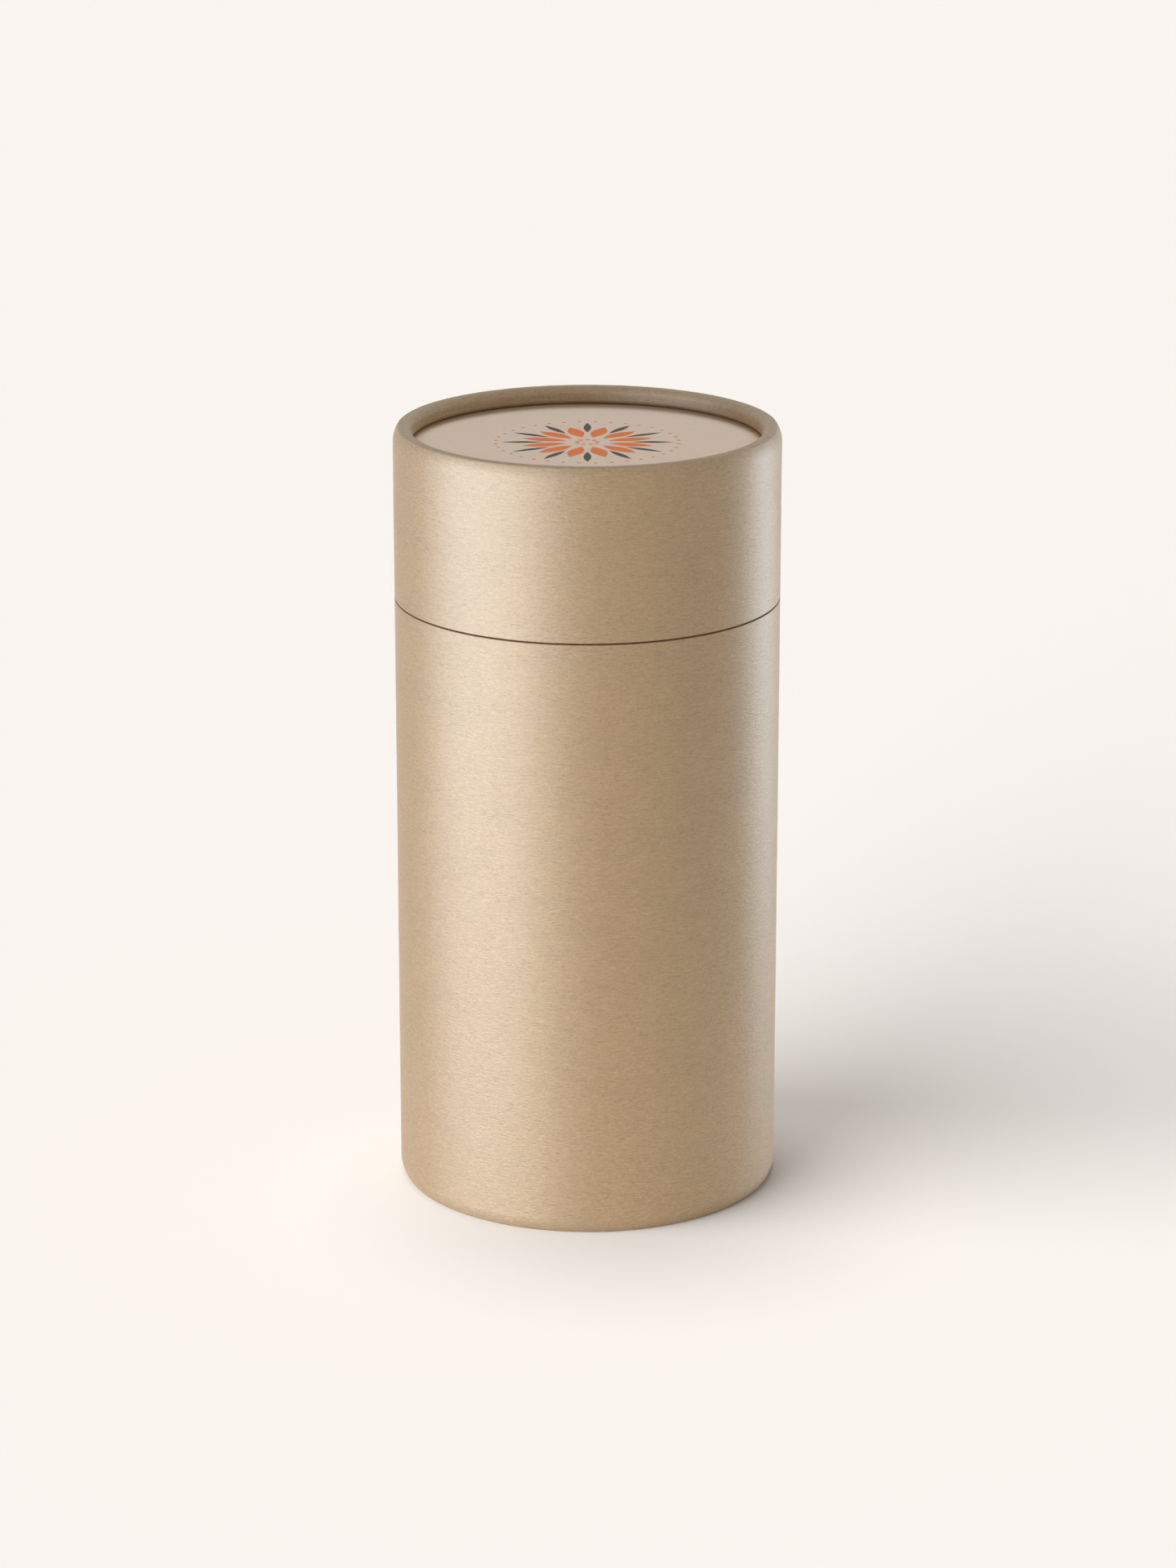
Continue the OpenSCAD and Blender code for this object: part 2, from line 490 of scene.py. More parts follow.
class Graph:
    """A material's node tree, written as arithmetic on signals."""

    def __init__(self, name: str) -> None:
        """Starts an empty material with an output.

        Args:
            name: Name of the material.
        """
        self.material = bpy.data.materials.new(name)
        self.material.use_nodes = True
        self.tree = self.material.node_tree
        self.tree.nodes.clear()

    @classmethod
    def of_world(cls, world: bpy.types.World) -> "Graph":
        """Starts an empty tree in a world.

        Args:
            world: The world.

        Returns:
            The tree's helper, which has no material.
        """
        graph = cls.__new__(cls)
        graph.tree = world.node_tree
        graph.tree.nodes.clear()
        return graph

    def node(self, kind: str, **settings: object) -> bpy.types.Node:
        """Adds a node of a type and sets its properties."""
        made = self.tree.nodes.new(kind)
        for key, value in settings.items():
            setattr(made, key, value)
        return made

    def feed(self, socket: bpy.types.NodeSocket, value: "Signal | float | Sequence[float]") -> None:
        """Links a signal to an input, or writes a plain value on it."""
        if isinstance(value, Signal):
            self.tree.links.new(value.socket, socket)
        else:
            socket.default_value = value

    def math(self, operation: str, *values: "Signal | float", clamp: bool = False) -> "Signal":
        """A Math node on one to three values.

        Args:
            operation: The node's operation.
            values: Its inputs in order.
            clamp: Whether the result is held between 0 and 1.

        Returns:
            The result.
        """
        made = self.node("ShaderNodeMath", operation=operation, use_clamp=clamp)
        for socket, value in zip(made.inputs, values):
            self.feed(socket, value)
        return Signal(self, made.outputs[0])

    def place(self) -> "Signal":
        """Place on the object, in metres."""
        return Signal(self, self.node("ShaderNodeTexCoord").outputs["Object"])

    def paper(self) -> "Signal":
        """Place on the paper, in metres round and along it."""
        return Signal(self, self.node("ShaderNodeUVMap", uv_map="paper").outputs["UV"])

    def stretched(self, place: "Signal", cell: Sequence[float], shift: float = 0.0) -> "Signal":
        """Scales a place so that a cell of the given lengths becomes 1 by 1 by 1.

        Args:
            place: A place in metres.
            cell: Lengths of the cell along the three axes, in metres.
            shift: Moves the pattern, so that two patterns with one cell differ.

        Returns:
            The scaled place.
        """
        made = self.node("ShaderNodeMapping")
        self.feed(made.inputs["Vector"], place)
        made.inputs["Location"].default_value = (shift, 0.7 * shift, 0.4 * shift)
        made.inputs["Scale"].default_value = [1 / length for length in cell]
        return Signal(self, made.outputs[0])

    def noise(self, place: "Signal", detail: float = 2.0, rough: float = 0.5) -> "Signal":
        """Smooth noise about 0.5 on a scaled place."""
        made = self.node("ShaderNodeTexNoise")
        self.feed(made.inputs["Vector"], place)
        made.inputs["Scale"].default_value = 1.0
        made.inputs["Detail"].default_value = detail
        made.inputs["Roughness"].default_value = rough
        return Signal(self, made.outputs[0])

    def specks(self, place: "Signal", size: float, share: float) -> "Signal":
        """Round specks, one in some of the cells of a scaled place.

        Args:
            place: A scaled place.
            size: Radius of a speck, in cells.
            share: Share of the cells that have one.

        Returns:
            1 in the middle of a speck, falling to 0 at its edge.
        """
        made = self.node("ShaderNodeTexVoronoi")
        self.feed(made.inputs["Vector"], place)
        made.inputs["Scale"].default_value = 1.0
        pick = self.node("ShaderNodeSeparateColor")
        self.tree.links.new(made.outputs["Color"], pick.inputs[0])
        chosen = Signal(self, pick.outputs[0]).below(share, 0.01)
        return Signal(self, made.outputs["Distance"]).below(size, size) * chosen

    def split(self, place: "Signal") -> tuple["Signal", "Signal", "Signal"]:
        """The three parts of a place."""
        made = self.node("ShaderNodeSeparateXYZ")
        self.feed(made.inputs[0], place)
        return tuple(Signal(self, out) for out in made.outputs)

    def blend(self, share: "Signal", low: "Signal | Sequence[float]", high: "Signal | Sequence[float]") -> "Signal":
        """Mixes two colours.

        Args:
            share: 0 for the first colour, 1 for the second.
            low: First colour.
            high: Second colour.

        Returns:
            The mixed colour.
        """
        made = self.node("ShaderNodeMix", data_type="RGBA")
        colours = [socket for socket in made.inputs if socket.type == "RGBA"]
        self.feed(made.inputs["Factor"], share)
        self.feed(colours[0], low)
        self.feed(colours[1], high)
        return Signal(self, next(out for out in made.outputs if out.type == "RGBA"))

    def shaded(self, colour: "Signal", swing: "Signal", gains: Sequence[float] = (1.0, 1.0, 1.0)) -> "Signal":
        """A colour times 1 plus a swing.

        Args:
            colour: The colour.
            swing: How much lighter, or darker where it is negative.
            gains: How much the swing counts in red, green and blue.

        Returns:
            The shaded colour.
        """
        light = self.node("ShaderNodeVectorMath", operation="MULTIPLY_ADD")
        self.feed(light.inputs[0], swing)
        light.inputs[1].default_value = gains
        light.inputs[2].default_value = (1.0, 1.0, 1.0)
        made = self.node("ShaderNodeVectorMath", operation="MULTIPLY")
        self.feed(made.inputs[0], colour)
        self.tree.links.new(light.outputs[0], made.inputs[1])
        return Signal(self, made.outputs[0])

    def bump(self, height: "Signal", distance: float) -> "Signal":
        """Surface normal of a relief whose height of 1 stands the given distance."""
        made = self.node("ShaderNodeBump")
        made.inputs["Strength"].default_value = 1.0
        made.inputs["Distance"].default_value = distance
        self.feed(made.inputs["Height"], height)
        return Signal(self, made.outputs[0])

    def surface(self, colour: "Signal", rough: "Signal", normal: "Signal", **plain: object) -> bpy.types.Material:
        """Ends the tree in a Principled shader.

        Args:
            colour: Base colour.
            rough: Roughness.
            normal: Surface normal.
            plain: Uniform values, by the shader's own socket names with _ for a space.

        Returns:
            The material.
        """
        shader = self.node("ShaderNodeBsdfPrincipled")
        self.feed(shader.inputs["Base Color"], colour)
        self.feed(shader.inputs["Roughness"], rough)
        self.feed(shader.inputs["Normal"], normal)
        if plain.get("Anisotropic"):
            round_axis = self.node("ShaderNodeTangent", direction_type="RADIAL", axis="Z")
            self.tree.links.new(round_axis.outputs[0], shader.inputs["Tangent"])
        for key, value in plain.items():
            shader.inputs[key.replace("_", " ")].default_value = value
        output = self.node("ShaderNodeOutputMaterial")
        self.tree.links.new(shader.outputs[0], output.inputs["Surface"])
        return self.material


@dataclass(frozen=True)
class Signal:
    """One output of a node tree, on which plain arithmetic adds Math nodes."""

    graph: Graph
    socket: bpy.types.NodeSocket

    def __add__(self, other: "Signal | float") -> "Signal":
        """Sum."""
        return self.graph.math("ADD", self, other)

    def __sub__(self, other: "Signal | float") -> "Signal":
        """Difference."""
        return self.graph.math("SUBTRACT", self, other)

    def __mul__(self, other: "Signal | float") -> "Signal":
        """Product."""
        return self.graph.math("MULTIPLY", self, other)

    def __truediv__(self, other: "Signal | float") -> "Signal":
        """Quotient."""
        return self.graph.math("DIVIDE", self, other)

    def swing(self, reach: float) -> "Signal":
        """Turns noise about 0.5 into a swing about 0 that reaches about the given value."""
        return (self - 0.5) * (2 * reach)

    def above(self, level: float, width: float) -> "Signal":
        """Rises from 0 to 1 as the signal passes a level, over a width."""
        made = self.graph.node("ShaderNodeMapRange", interpolation_type="SMOOTHSTEP")
        self.graph.feed(made.inputs["Value"], self)
        made.inputs["From Min"].default_value = level - width / 2
        made.inputs["From Max"].default_value = level + width / 2
        return Signal(self.graph, made.outputs[0])

    def below(self, level: float, width: float) -> "Signal":
        """Falls from 1 to 0 as the signal passes a level, over a width."""
        return self.graph.math("SUBTRACT", 1.0, self.above(level, width))

    def most(self, other: "Signal") -> "Signal":
        """The greater of two signals."""
        return self.graph.math("MAXIMUM", self, other)


@dataclass(frozen=True)
class KraftPaper:
    """Kraft paper with its fibres laid one way: pale and dark fibres, cloudy stock, grain and dark specks.

    fibre is the length and width of a fibre, grain the cell of the fine unevenness that breaks up the sheen,
    and cloud the cell of the stock's slow mottling.
    """

    name: str
    colour: Colour
    rough: float = 0.52
    fibre: tuple[float, float] = (2.3 * MM, 0.36 * MM)
    grain: tuple[float, float] = (0.9 * MM, 0.36 * MM)
    cloud: tuple[float, float] = (17 * MM, 8 * MM)
    contrast: float = 0.27
    relief: float = 0.042 * MM
    ior: float = 1.6
    specular: float = 1.0
    stretch: float = 0.6
    on_disc: bool = False
    # Width and dark brown tone of a painted shade on the cover's mouth edge, standing in for the shade in the seam's
    # gap between lid and base.
    mouth_shade_w: float = 0.0
    seam_shade_tone: Colour = (124, 66, 6)

    def cell(self, lengths: tuple[float, float]) -> tuple[float, float, float]:
        """A flat cell, as deep as it is long."""
        return (lengths[0], lengths[1], lengths[0])

    def inked(self, graph: Graph, colour: Signal, wear: Signal) -> Signal:
        """What is printed on the paper: nothing on plain stock."""
        return colour

    def material(self) -> bpy.types.Material:
        """Builds the finish.

        Colour is the stock's colour times 1 plus the swings of cloud, fibres and grain, less the specks. Height
        is fibres and grain, and roughness swings with the grain.

        Returns:
            The material.
        """
        graph = Graph(self.name)
        place = graph.place() if self.on_disc else graph.paper()
        cloud = graph.noise(graph.stretched(place, self.cell(self.cloud)), 3.0)
        pale = graph.noise(graph.stretched(place, self.cell(self.fibre), 3.1), 2.0, 0.6)
        dark = graph.noise(graph.stretched(place, self.cell(self.fibre), 11.7), 2.0, 0.6)
        grain = graph.noise(graph.stretched(place, self.cell(self.grain), 5.3), 3.0, 0.65)
        specks = graph.specks(graph.stretched(place, (3.4 * MM, 2.6 * MM, 3.4 * MM), 1.9), 0.055, 0.16)
        strands = pale.above(0.58, 0.24) - dark.above(0.60, 0.24)
        tone = cloud.swing(0.3 * self.contrast) + strands * (0.6 * self.contrast) + grain.swing(1.7 * self.contrast)
        swing = tone - specks * 0.30
        warmer = [channel * gain for channel, gain in zip(linear(self.colour), (1.03, 0.985, 0.93, 1.0))]
        stock = graph.blend(cloud, linear(self.colour), warmer)
        colour = self.inked(graph, graph.shaded(stock, swing, (0.85, 1.1, 1.5)), grain)
        height = strands * 0.6 + grain.swing(1.0)
        rough = grain.swing(0.05) + self.rough
        # Painted shade: near the mouth edge the colour turns to a dark brown, standing in for the shade in the gap
        # between lid and base. The roughness rises there too.
        if self.mouth_shade_w:
            _, along, _ = graph.split(place)
            painted_seam_shade = along.below(self.mouth_shade_w, self.mouth_shade_w)
            colour = graph.blend(painted_seam_shade * 0.9, colour, linear(self.seam_shade_tone))
            rough = rough + painted_seam_shade * 0.48
        return graph.surface(
            colour,
            rough,
            graph.bump(height, self.relief),
            IOR=self.ior,
            Specular_IOR_Level=self.specular,
            Anisotropic=self.stretch,
            Anisotropic_Rotation=0.25,
        )


@dataclass(frozen=True)
class RosettePrint(KraftPaper):
    """Kraft end paper with a rosette of petals, leaves and dots in two inks."""

    ink: Colour = (210, 104, 24)
    dark_ink: Colour = (40, 36, 33)
    edge: float = 0.10 * MM
    # Colour, radius and width of a painted shade ring, where the disc meets the rim.
    rim_shade_tone: Colour = (186, 148, 98)
    rim_shade_r: float = 43.5 * MM
    rim_shade_w: float = 5 * MM

    def ring(self, graph: Graph, count: int, turn: float) -> tuple[Signal, Signal]:
        """Folds the disc into equal sectors, so that one motif repeats round the axis.

        Args:
            graph: The material's graph.
            count: Number of sectors.
            turn: Turn of the ring, in sectors.

        Returns:
            Place within a sector: the distance along its middle line, and the distance across it.
        """
        x, y, _ = graph.split(graph.place())
        radius = graph.math("SQRT", x * x + y * y)
        sector = graph.math("ARCTAN2", y, x) * (count / TURN) + (turn + count)
        angle = (graph.math("FRACT", sector) - 0.5) * (TURN / count)
        return radius * graph.math("COSINE", angle), radius * graph.math("SINE", angle)

    def leaf(self, graph: Graph, count: int, turn: float, start: float, end: float, half_w: float) -> Signal:
        """A ring of pointed leaves, as wide as half_w * sin(pi t) each side at the share t of their length."""
        along, across = self.ring(graph, count, turn)
        share = graph.math("DIVIDE", along - start, end - start, clamp=True)
        width = graph.math("SINE", share * math.pi) * half_w
        return (width - graph.math("ABSOLUTE", across)).above(self.edge / 2, self.edge)

    def dot(self, graph: Graph, count: int, turn: float, at: float, radius: float) -> Signal:
        """A ring of round dots."""
        along, across = self.ring(graph, count, turn)
        off = along - at
        return graph.math("SQRT", off * off + across * across).below(radius, self.edge)

    def inked(self, graph: Graph, colour: Signal, wear: Signal) -> Signal:
        """Lays both inks on the paper, thinner where the grain lies low.

        Close to the rim the paper darkens to a warm brown, as painted shade where the disc meets the rim.

        Args:
            graph: The material's graph.
            colour: The bare paper.
            wear: The paper's grain.

        Returns:
            The printed paper.
        """
        x, y, _ = graph.split(graph.place())
        # Painted shade: a warm brown ring at the disc's edge, where it meets the rolled rim.
        rim_shade_share = graph.math("SQRT", x * x + y * y).above(self.rim_shade_r, self.rim_shade_w)
        colour = graph.blend(rim_shade_share * 0.7, colour, linear(self.rim_shade_tone))
        petals = self.leaf(graph, 12, 0.0, 5.4 * MM, 17.6 * MM, 2.05 * MM)
        seeds = self.dot(graph, 9, 0.3, 2.7 * MM, 0.62 * MM).most(self.dot(graph, 36, 0.0, 23.6 * MM, 0.5 * MM))
        leaves = self.leaf(graph, 12, 0.5, 11.0 * MM, 22.4 * MM, 1.05 * MM)
        cover = wear.above(0.22, 0.24) * 0.08 + 0.90
        warm = graph.blend(petals.most(seeds) * cover, colour, linear(self.ink))
        return graph.blend(leaves * cover, warm, linear(self.dark_ink))


@dataclass(frozen=True)
class PlyBoard:
    """Grey-brown board: matt, flecked, and with the lines of its plies where a cut shows them.

    The lines run round the axis on a wound board, and level on a flat one. ply is the thickness of a ply.
    """

    name: str
    colour: Colour
    wound: bool
    ply: float = 0.36 * MM
    rough: float = 0.78
    relief: float = 0.03 * MM

    def material(self) -> bpy.types.Material:
        """Builds the finish: the board's colour times 1 plus ply lines, flecks and mottling.

        Returns:
            The material.
        """
        graph = Graph(self.name)
        place = graph.place()
        x, y, z = graph.split(place)
        across = graph.math("SQRT", x * x + y * y) if self.wound else z
        mottle = graph.noise(graph.stretched(place, (1.6 * MM,) * 3), 4.0, 0.6)
        flecks = graph.noise(graph.stretched(place, (0.35 * MM,) * 3, 4.4), 2.0, 0.6)
        wander = mottle.swing(0.35)
        plies = graph.math("COSINE", (across / self.ply + wander) * TURN)
        swing = plies * 0.07 + mottle.swing(0.10) + flecks.swing(0.12)
        stock = graph.blend(mottle, linear(self.colour), [c * 0.93 for c in linear(self.colour)[:3]] + [1.0])
        height = plies * 0.4 + flecks.swing(1.0)
        return graph.surface(
            graph.shaded(stock, swing), flecks.swing(0.08) + self.rough, graph.bump(height, self.relief)
        )


class Finishes:
    """All finishes of the tube, one material for each slot."""

    def __init__(self) -> None:
        """Builds every material once."""
        inside = {"rough": 0.62, "contrast": 0.22, "relief": 0.016 * MM, "ior": 1.5, "specular": 0.5, "stretch": 0.0}
        matt = {"rough": 0.75, "contrast": 0.07, "relief": 0.012 * MM, "ior": 1.45, "specular": 0.1, "stretch": 0.0}
        specs = {
            # The cover's mouth edge carries a painted shade of the seam's gap, 0.17 mm wide.
            Slot.KRAFT_COVER: KraftPaper("kraft_cover", (186, 158, 119), mouth_shade_w=0.17 * MM),
            Slot.PRINTED_FACING: RosettePrint("printed_facing", (204, 190, 176), on_disc=True, **matt),
            Slot.NECK_PAPER: KraftPaper("neck_paper", (196, 163, 120), **inside),
            Slot.LINING_PAPER: KraftPaper("lining_paper", (202, 172, 132), **inside),
            Slot.INNER_DISC: KraftPaper("inner_disc", (198, 167, 128), on_disc=True, **inside),
            Slot.WOUND_BOARD: PlyBoard("wound_board", (196, 174, 144), wound=True),
            Slot.DISC_BOARD: PlyBoard("disc_board", (190, 170, 142), wound=False, ply=0.3 * MM),
        }
        self.by_slot = {slot: spec.material() for slot, spec in specs.items()}

    def dress(self, piece: bpy.types.Object, slot: Slot) -> None:
        """Gives a piece the one finish of a slot."""
        piece.data.materials.clear()
        piece.data.materials.append(self.by_slot[slot])


def radius_of(node: str) -> float:
    """Outer radius of a round CAD node."""
    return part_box(node)[1].x


def span_of(node: str) -> tuple[float, float]:
    """Lowest and highest point of a CAD node."""
    low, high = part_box(node)
    return low.z, high.z


@dataclass
class SubAssembly:
    """What the parts of one body share: their finishes, their body, and how a piece takes a node's place."""

    finishes: Finishes
    body: Body = field(init=False)

    def stand_in(self, piece: bpy.types.Object, node: str, slot: Slot) -> None:
        """Puts a finished piece in the place of a CAD node.

        Args:
            piece: The piece, made where the node is.
            node: Name of the node.
            slot: Its finish.
        """
        self.finishes.dress(piece, slot)
        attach(piece, self.body.value)
        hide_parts(node)
        LOG.info("%s: %d faces, for %s", piece.name, len(piece.data.polygons), node)

    def keep(self, node: str, slot: Slot) -> None:
        """Keeps a CAD node whose shape is right, and gives it its finish."""
        self.finishes.dress(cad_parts[node], slot)
        LOG.info("%s: the CAD node with a finish", node)


@dataclass
class RolledBody(SubAssembly):
    """A wall rolled inwards at one end round a recessed disc: the base and the lid.

    mouth is the height of the open end and crest that of the rolled one, both from the CAD wrap.
    """

    row_gap: float = 6 * MM
    edge_break: float = 0.1 * MM
    columns: int = 252
    lap: Lap = field(default_factory=Lap)

    def __post_init__(self) -> None:
        """Reads the body's radii and heights from the frame."""
        name = self.body.value
        low, high = span_of(f"{name}_wrap")
        self.crest, self.mouth = (low, high) if self.body is Body.BASE else (high, low)
        self.away = 1.0 if self.mouth > self.crest else -1.0
        self.outer_r = self.wall_radius(name)
        paper_t = self.outer_r - radius_of(f"{name}_tube")
        board_t = radius_of(f"{name}_tube") - radius_of(f"{name}_lining")
        facing = span_of("foot_facing" if self.body is Body.BASE else "top_facing")
        depth = min(abs(facing[0] - self.crest), abs(facing[1] - self.crest))
        self.end = RolledEnd(paper_t, board_t, depth)

    @staticmethod
    def wall_radius(name: str) -> float:
        """Outer radius of a wrap: half of its box, because the lap doesn't reach the box's sides."""
        low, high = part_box(f"{name}_wrap")
        return (high.x - low.x) / 2

    def at(self, uv: np.ndarray) -> tuple[np.ndarray, np.ndarray]:
        """Turns section points (u, v) into radii and heights."""
        return self.outer_r - uv[:, 0], self.crest + self.away * uv[:, 1]

    def wall_rows(self, depth: float, bevel: float) -> np.ndarray:
        """Points (u, v) of a face down the straight wall, from the mouth to where the shoulder starts."""
        reach = abs(self.mouth - self.crest)
        start = reach - bevel
        count = int((start - self.end.shoulder_h) / self.row_gap)
        rows = np.linspace(start, self.end.shoulder_h, count + 1)[:-1]
        return np.column_stack([np.full_like(rows, depth), rows])

    def layer(self, outside: float, inside: float, bevel: float) -> tuple[np.ndarray, np.ndarray]:
        """Closed section of one layer, from the mouth over the roll to the fold's cut end and back inside.

        Args:
            outside: Depth of the layer's outer face.
            inside: Depth of its inner face.
            bevel: Bevel of the outer edge at the mouth.

        Returns:
            The section's points (u, v), and for each of them 1 on the outer face and 0 on the inner one.
        """
        reach = abs(self.mouth - self.crest)
        outer = [self.wall_rows(outside, bevel), self.end.face(outside)]
        inner = [self.wall_rows(inside, 0.0), self.end.face(inside)]
        lip = np.array([[outside + bevel, reach]]) if bevel else np.empty((0, 2))
        face = np.concatenate([lip, *outer])
        back = np.concatenate(inner)[::-1]
        section = np.concatenate([face, back, face[:1]])
        outward = np.concatenate([np.ones(len(face)), np.zeros(len(back)), np.ones(1)])
        return section, outward

    def make_layer(self, name: str, outside: float, inside: float, bevel: float, lapped: bool) -> bpy.types.Object:
        """Builds the cover or the board of this body.

        Args:
            name: Name of the piece.
            outside: Depth of the layer's outer face.
            inside: Depth of its inner face.
            bevel: Bevel of the outer edge at the mouth.
            lapped: Whether the layer has the cover's glued lap.

        Returns:
            The linked object.
        """
        section, outward = self.layer(outside, inside, bevel)
        angles = self.lap.angles(self.outer_r, self.columns)
        radius, height = self.at(section)
        offset = hand_wound(angles[:, None], height[None, :])
        straight = smooth_step(self.end.crest_r, self.end.shoulder_h, section[:, 1]) * (section[:, 0] < self.end.layers_t)
        offset = offset * straight
        if lapped:
            offset = offset + self.lap.lift(angles, self.outer_r)[:, None] * (outward * straight)[None, :]
        return turned(name, radius[None, :] + offset, height[None, :], angles, self.outer_r)

    def build_wall(self) -> None:
        """Makes the cover paper and the board under it."""
        name = self.body.value
        cover = self.make_layer(f"{name}_cover", 0.0, self.end.paper_t, self.edge_break, lapped=True)
        self.stand_in(cover, f"{name}_wrap", Slot.KRAFT_COVER)
        board = self.make_layer(f"{name}_board", self.end.paper_t, self.end.layers_t, 0.0, lapped=False)
        self.stand_in(board, f"{name}_tube", Slot.WOUND_BOARD)

    def build_sleeve(self, node: str, inner: float, start: float, shows: Shows, slot: Slot) -> None:
        """Makes one of the thin wound papers.

        Args:
            node: CAD node that it stands for.
            inner: Its inner radius.
            start: Height of the seam at angle 0.
            shows: Which face has the seam.
            slot: Its finish.
        """
        low, high = span_of(node)
        seam = ButtSeam(start=start)
        sleeve = wound_sleeve(f"{node}_paper", radius_of(node), inner, low, high, seam, shows)
        self.stand_in(sleeve, node, slot)

    def build_disc(self, node: str, slot: Slot, edge: float, relief: Relief) -> bpy.types.Object:
        """Makes a disc in the place of a CAD node."""
        low, high = span_of(node)
        sheet = round_disc(f"{node}_sheet", radius_of(node), low, high, edge, relief)
        self.stand_in(sheet, node, slot)
        return sheet


@dataclass
class Base(RolledBody):
    """The base: wall, foot, floor, and the neck glued inside it."""

    body: Body = field(init=False, default=Body.BASE)
    lining_t: float = 0.15 * MM

    def build_neck(self) -> None:
        """Makes the neck: its board, the paper outside and the lining inside."""
        core_r = radius_of("neck_tube")
        bore_r = radius_of("neck_lining")
        low, high = span_of("neck_tube")
        lead_z = span_of("neck_facing")[1]
        lead = high - lead_z
        section_r = np.array([bore_r, core_r, core_r, core_r - lead / 2, bore_r, bore_r])
        section_z = np.array([low, low, lead_z, high, high, low])
        board = turned("neck_board", section_r[None, :], section_z[None, :], turn_angles(240), core_r)
        self.stand_in(board, "neck_tube", Slot.WOUND_BOARD)
        self.build_sleeve("neck_facing", core_r, 128 * MM, Shows.OUTSIDE, Slot.NECK_PAPER)
        self.build_sleeve("neck_lining", bore_r - self.lining_t, 96 * MM, Shows.INSIDE, Slot.LINING_PAPER)

    def build(self) -> None:
        """Makes every piece of the base."""
        self.build_wall()
        bore = radius_of("base_lining") - self.lining_t
        self.build_sleeve("base_lining", bore, 60 * MM, Shows.INSIDE, Slot.LINING_PAPER)
        self.build_neck()
        self.build_disc("foot_facing", Slot.KRAFT_COVER, 0.05 * MM, flat_calm)
        self.build_disc("floor_disc", Slot.INNER_DISC, 0.15 * MM, glued_down)
        self.keep("foot_disc", Slot.DISC_BOARD)


@dataclass
class Lid(RolledBody):
    """The lid: wall, rim and end discs."""

    body: Body = field(init=False, default=Body.LID)
    lining_t: float = 0.15 * MM

    def build(self) -> None:
        """Makes every piece of the lid."""
        self.build_wall()
        bore = radius_of("lid_lining") - self.lining_t
        self.build_sleeve("lid_lining", bore, 150 * MM, Shows.INSIDE, Slot.LINING_PAPER)
        self.facing = self.build_disc("top_facing", Slot.PRINTED_FACING, 0.05 * MM, glued_down)
        self.build_disc("lid_inner_disc", Slot.INNER_DISC, 0.15 * MM, flat_calm)
        self.keep("top_disc", Slot.DISC_BOARD)


@dataclass
class Softbox:
    """An upright studio lamp that faces the tube's axis and is unseen by the camera.

    azimuth is measured from the camera's side, positive to the right, and glow is the radiance of its face,
    where 1 is as bright as white paper in full light. One that is for the sheen only is seen in reflections.
    """

    name: str
    azimuth: float
    distance: float
    width: float
    height: float
    glow: float
    diffuse: bool = True
    sheen: bool = True
    colour: Colour = (255, 251, 247)

    def build(self) -> bpy.types.Object:
        """Adds the lamp, with the power that gives its face the glow: four watts for a square metre at 1.

        Returns:
            The linked lamp.
        """
        lamp = bpy.data.lights.new(self.name, "AREA")
        lamp.shape = "RECTANGLE"
        lamp.size, lamp.size_y = self.width, self.height
        lamp.energy = 4 * self.width * self.height * self.glow
        lamp.color = linear(self.colour)[:3]
        box = bpy.data.objects.new(self.name, lamp)
        away = bearing(self.azimuth, 0.0)
        box.location = away * self.distance + Vector((0, 0, self.height / 2))
        box.rotation_mode = "QUATERNION"
        box.rotation_quaternion = away.to_track_quat("Z", "Y")
        box.visible_camera = False
        box.visible_diffuse = self.diffuse
        box.visible_glossy = self.sheen
        bpy.context.scene.collection.objects.link(box)
        return box


@dataclass
class Sun:
    """A broad, even lamp from far away. Its azimuth is measured as a softbox's is, and its power is in W/m2."""

    name: str
    azimuth: float
    elevation: float
    spread: float
    power: float
    colour: Colour = (255, 251, 247)

    def build(self) -> bpy.types.Object:
        """Adds the lamp.

        Returns:
            The linked lamp.
        """
        lamp = bpy.data.lights.new(self.name, "SUN")
        lamp.energy = self.power
        lamp.angle = math.radians(self.spread)
        lamp.color = linear(self.colour)[:3]
        sun = bpy.data.objects.new(self.name, lamp)
        sun.rotation_mode = "QUATERNION"
        sun.rotation_quaternion = bearing(self.azimuth, self.elevation).to_track_quat("Z", "Y")
        bpy.context.scene.collection.objects.link(sun)
        return sun


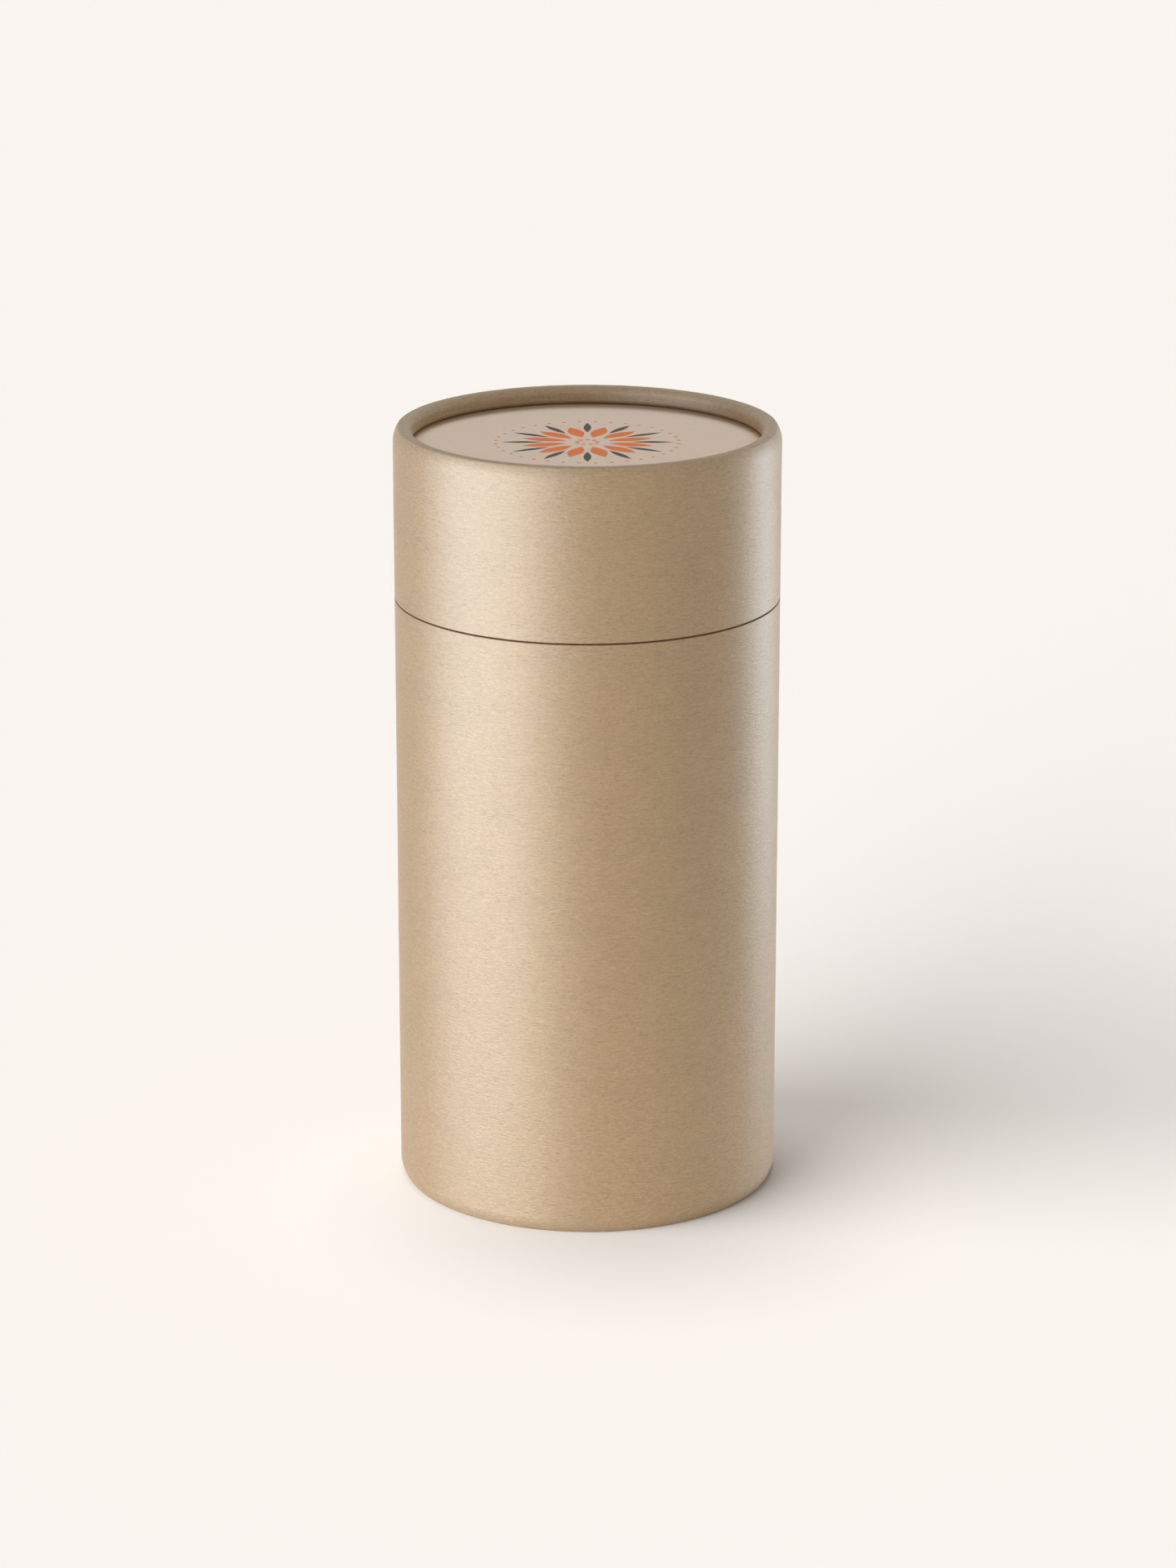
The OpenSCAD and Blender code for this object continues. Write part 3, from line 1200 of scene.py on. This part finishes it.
@dataclass
class Studio:
    """The camera, a pale floor and soft light.

    The softboxes stand close to the tube and would light the floor in pools, so they leave it out, and two even
    lamps light it instead, one of which throws the tube's soft shadow.
    """

    lens: float = 107.51
    eye: tuple[float, float, float] = (0.00015, -1.175, 0.4669)
    pitch_deg: float = 17.05
    floor_r: float = 12.0
    floor_pale: Colour = (218, 217, 216)
    floor_dim: Colour = (40, 39, 38)
    bounce: float = 0.5
    bounce_r: float = 0.18
    bounce_fade: float = 0.16
    surround: Colour = (250, 246, 241)
    room_low: float = 0.25
    room_high: float = 0.40

    def build_camera(self) -> None:
        """Adds the camera at the photograph's viewing angle and makes it the scene's."""
        data = bpy.data.cameras.new("camera")
        data.lens = self.lens
        camera = bpy.data.objects.new("camera", data)
        camera.location = self.eye
        camera.rotation_euler = (math.radians(90 - self.pitch_deg), 0, 0)
        bpy.context.scene.collection.objects.link(camera)
        bpy.context.scene.camera = camera

    @staticmethod
    def shown(graph: Graph) -> Signal:
        """1 where the camera looks, directly or by a reflection or through something clear, and 0 for bounced light.

        Args:
            graph: The node tree.

        Returns:
            The mask.
        """
        path = graph.node("ShaderNodeLightPath")
        kinds = [Signal(graph, path.outputs[f"Is {kind} Ray"]) for kind in ("Camera", "Glossy", "Transmission")]
        return kinds[0].most(kinds[1]).most(kinds[2])

    def build_floor(self) -> bpy.types.Object:
        """Adds the floor, which is pale wherever it is seen, but throws light on the tube only from close by.

        Returns:
            The linked floor.
        """
        angles = turn_angles(96)[:-1]
        rim = np.column_stack([np.cos(angles), np.sin(angles), np.zeros_like(angles)]) * self.floor_r
        mesh = bpy.data.meshes.new("floor")
        mesh.from_pydata(rim.tolist(), [], [list(range(len(rim)))])
        floor = bpy.data.objects.new("floor", mesh)
        bpy.context.scene.collection.objects.link(floor)
        graph = Graph("floor")
        shader = graph.node("ShaderNodeBsdfDiffuse")
        x, y, _ = graph.split(graph.place())
        close = graph.math("SQRT", x * x + y * y).below(self.bounce_r, self.bounce_fade)
        pale = self.shown(graph).most(close * self.bounce)
        graph.feed(shader.inputs["Color"], graph.blend(pale, linear(self.floor_dim), linear(self.floor_pale)))
        output = graph.node("ShaderNodeOutputMaterial")
        graph.tree.links.new(shader.outputs[0], output.inputs["Surface"])
        mesh.materials.append(graph.material)
        return floor

    def build_world(self) -> None:
        """Surrounds the tube with a dim room, brighter overhead, which is seen and reflected as plain pale."""
        world = bpy.data.worlds.new("room")
        bpy.context.scene.world = world
        world.use_nodes = True
        graph = Graph.of_world(world)
        height = graph.split(Signal(graph, graph.node("ShaderNodeTexCoord").outputs["Generated"]))[2]
        room = height * (self.room_high - self.room_low) + self.room_low
        shown = self.shown(graph)
        background = graph.node("ShaderNodeBackground")
        background.inputs["Color"].default_value = linear(self.surround)
        graph.feed(background.inputs["Strength"], shown + (room * graph.math("SUBTRACT", 1.0, shown)))
        output = graph.node("ShaderNodeOutputWorld")
        graph.tree.links.new(background.outputs[0], output.inputs["Surface"])

    def lamps(self) -> list[Softbox]:
        """The lamps of the tube: on the left, for the long highlight there, and behind it for the right edge."""
        cool = (236, 246, 255)
        return [
            Softbox("left_box", -56.0, 0.5, 0.40, 0.22, 2.7, sheen=False),
            Softbox("edge_box", -105.0, 0.5, 0.16, 0.22, 3.2, sheen=False),
            Softbox("sheen_box", -58.0, 0.5, 0.74, 0.33, 5.6, diffuse=False, colour=cool),
            Softbox("front_box", 5.0, 0.6, 0.5, 0.22, 2.15, sheen=False),
            Softbox("right_box", 120.5, 0.5, 0.16, 0.22, 6.9, colour=cool),
            Softbox("back_box", 190.0, 0.6, 0.5, 0.22, 1.4, sheen=False),
        ]

    def floor_lamps(self) -> list[Sun]:
        """The even light of the floor: one lamp for the shadow on the right, and one for that before the foot."""
        return [Sun("floor_light", -58.0, 14.0, 74.0, 7.2), Sun("floor_fill", -165.0, 80.0, 20.0, 1.15)]

    def light_disc(self, facing: bpy.types.Object) -> None:
        """Lights the recessed paper from behind and above, past the rim's shadow, without lighting the rim."""
        only = bpy.data.collections.new("disc_only")
        only.objects.link(facing)
        Sun("disc_light", 180.0, 37.0, 24.0, 2.3).build().light_linking.receiver_collection = only

    def build(self) -> None:
        """Sets up the whole studio."""
        bpy.context.scene.view_settings.view_transform = "Standard"
        self.build_camera()
        floor = self.build_floor()
        self.build_world()
        floor_only = bpy.data.collections.new("floor_only")
        floor_only.objects.link(floor)
        not_floor = bpy.data.collections.new("not_floor")
        not_floor.objects.link(floor)
        not_floor.collection_objects[0].light_linking.link_state = "EXCLUDE"
        for lamp in self.lamps():
            lamp.build().light_linking.receiver_collection = not_floor
        for lamp in self.floor_lamps():
            lamp.build().light_linking.receiver_collection = floor_only


def main() -> None:
    """Builds the studio and both bodies."""
    logging.basicConfig(level=logging.INFO, format="%(name)s: %(message)s")
    studio = Studio()
    studio.build()
    finishes = Finishes()
    Base(finishes).build()
    lid = Lid(finishes)
    lid.build()
    studio.light_disc(lid.facing)


if __name__ == "__main__":
    main()
